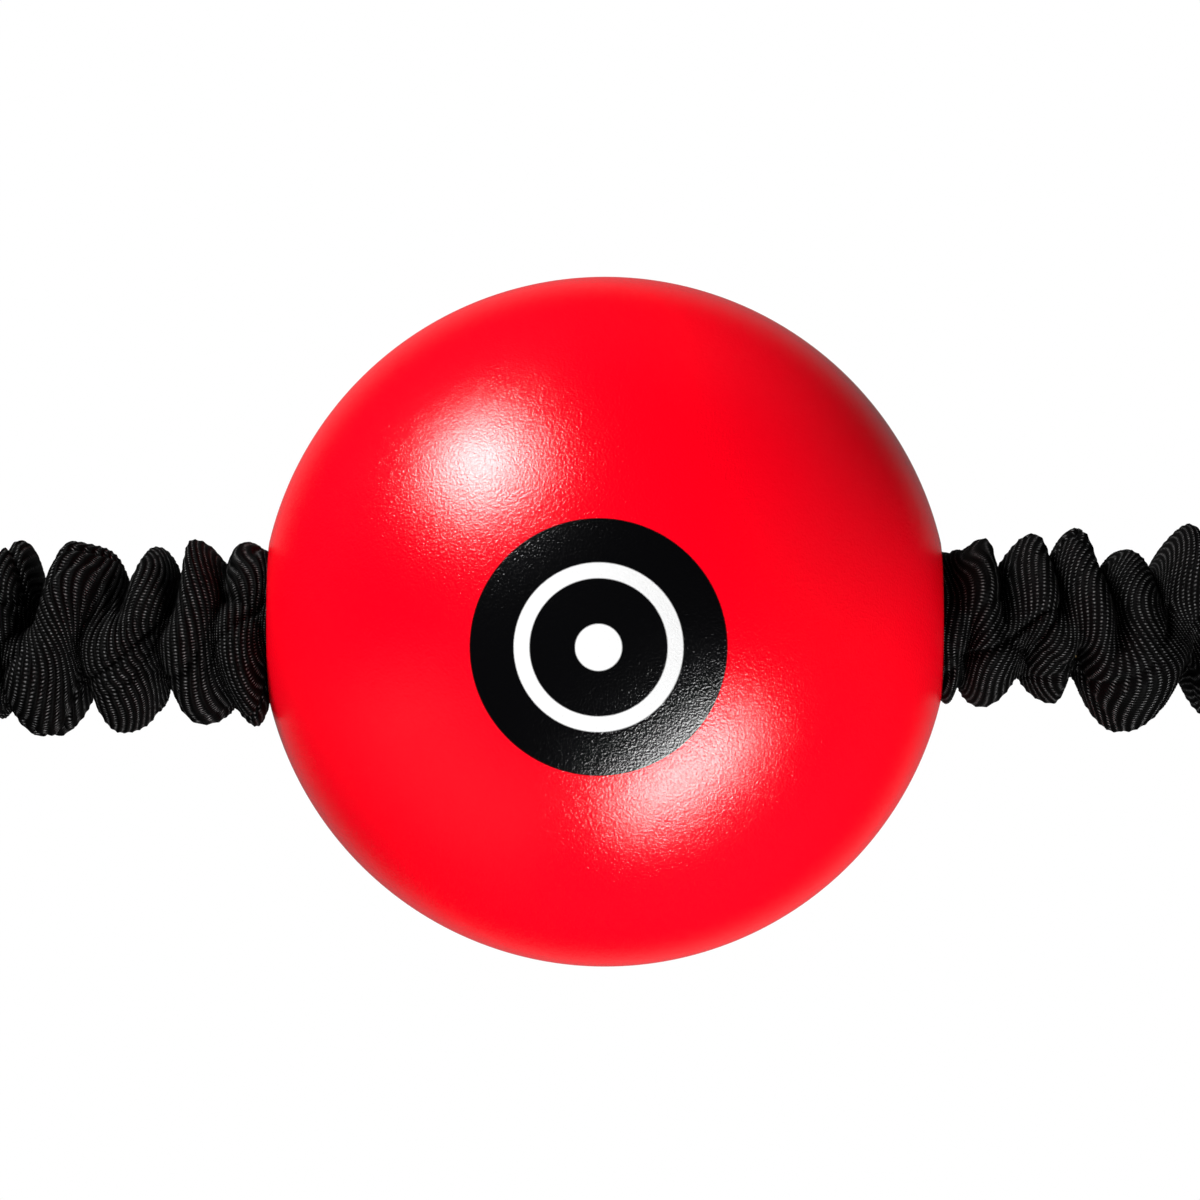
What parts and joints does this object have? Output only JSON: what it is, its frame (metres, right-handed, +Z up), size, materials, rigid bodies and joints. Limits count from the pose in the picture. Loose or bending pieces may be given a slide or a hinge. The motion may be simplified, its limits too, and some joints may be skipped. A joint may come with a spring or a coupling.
{
  "type": "reflex ball headband",
  "caption": "Headband with two stretch tethers in gathered sleeves that clip to its temples and hold a glossy red training ball on a through-axle.",
  "frame": {"origin": "on the table, under the middle of the ball and headband together", "axes": "+Z up from the table, -Y from the headband towards the ball (the wearer's front), +X to the wearer's left when worn"},
  "size_m": [0.2332, 0.3998, 0.065],
  "materials": {
    "red_skin": "glossy moulded skin with a fine orange-peel grain",
    "white_foam": "closed-cell foam",
    "white_nylon": "moulded nylon",
    "black_sleeve": "gathered ribbed polyester",
    "latex": "natural latex tube",
    "black_cloth": "brushed knit cloth",
    "hook_nylon": "woven nylon hooks",
    "black_rubber": "satin moulded rubber",
    "grey_foam": "closed-cell foam",
    "black_webbing": "woven polyester webbing",
    "silicone": "printed silicone bead",
    "steel": "nickel-plated steel"
  },
  "bodies": {
    "headband": {"sweat_liner": "black_cloth", "foam_pad": "grey_foam", "outer_shell": "black_cloth", "top_binding": "black_webbing", "bottom_binding": "black_webbing", "bottom_grip": "silicone", "middle_grip": "silicone", "top_grip": "silicone", "rear_strap": "black_webbing", "loop_patch": "black_cloth", "tab_root": "black_webbing", "left_ring_tab": "black_webbing", "right_ring_tab": "black_webbing"},
    "closure": {"closure_tab": "black_webbing", "hook_patch": "hook_nylon", "pull_tip": "black_rubber"},
    "left_ring": {"left_d_ring": "steel"},
    "right_ring": {"right_d_ring": "steel"},
    "clasps": {"left_clasp_body": "steel", "left_gate_pin": "steel", "right_clasp_body": "steel", "right_gate_pin": "steel"},
    "left_gate": {"left_clasp_gate": "steel"},
    "right_gate": {"right_clasp_gate": "steel"},
    "left_swivel_end": {"left_swivel_eye": "steel", "left_webbing_loop": "black_webbing", "left_end_cuff": "black_rubber", "left_end_ferrule": "steel"},
    "right_swivel_end": {"right_swivel_eye": "steel", "right_webbing_loop": "black_webbing", "right_end_cuff": "black_rubber", "right_end_ferrule": "steel"},
    "ball_axle": {"left_collar": "white_nylon", "right_collar": "white_nylon", "left_ball_ferrule": "steel", "right_ball_ferrule": "steel", "left_sleeve": "black_sleeve", "right_sleeve": "black_sleeve", "left_elastic": "latex", "right_elastic": "latex"},
    "ball": {"ball_skin": "red_skin", "foam_core": "white_foam", "core_tube": "white_nylon", "left_bush": "white_nylon", "right_bush": "white_nylon"}
  },
  "joints": [
    {"name": "ball_swing", "type": "hinge", "parent": "headband", "child": "clasps", "pos_m": [0, 0.07346, 0.025], "axis": [-1, 0, 0], "range_deg": [-65, 80]},
    {"name": "tether_stretch", "type": "slide", "parent": "clasps", "child": "ball_axle", "axis": [0, -1, 0], "range_m": [0, 0.3], "stiffness_N_per_m": 25, "deforming": ["left_sleeve", "right_sleeve", "left_elastic", "right_elastic"]},
    {"name": "ball_spin", "type": "hinge", "parent": "ball_axle", "child": "ball", "pos_m": [0, -0.1675, 0.0325], "axis": [1, 0, 0], "continuous": true},
    {"name": "left_swivel", "type": "hinge", "parent": "clasps", "child": "left_swivel_end", "pos_m": [-0.0823, 0.04634, 0.02119], "axis": [-0.2079, -0.9686, -0.1361], "continuous": true},
    {"name": "left_gate_hinge", "type": "hinge", "parent": "clasps", "child": "left_gate", "pos_m": [-0.08598, 0.05157, 0.02192], "axis": [0, 0.1392, -0.9903], "range_deg": [0, 30], "stiffness_Nm_per_rad": 0.02},
    {"name": "left_ring_flip", "type": "hinge", "parent": "headband", "child": "left_ring", "pos_m": [-0.07565, 0.07737, 0.025], "axis": [0, 0, 1], "range_deg": [-3, 3]},
    {"name": "right_swivel", "type": "hinge", "parent": "clasps", "child": "right_swivel_end", "pos_m": [0.0823, 0.04634, 0.02119], "axis": [0.2079, -0.9686, -0.1361], "continuous": true},
    {"name": "right_gate_hinge", "type": "hinge", "parent": "clasps", "child": "right_gate", "pos_m": [0.08598, 0.05157, 0.02192], "axis": [0, -0.1392, 0.9903], "range_deg": [0, 30], "stiffness_Nm_per_rad": 0.02},
    {"name": "right_ring_flip", "type": "hinge", "parent": "headband", "child": "right_ring", "pos_m": [0.07565, 0.07737, 0.025], "axis": [0, 0, 1], "range_deg": [-3, 3]},
    {"name": "rear_tab_peel", "type": "hinge", "parent": "headband", "child": "closure", "pos_m": [-0.04233, 0.18592, 0.025], "axis": [0, 0, 1], "range_deg": [0, 100]}
  ]
}
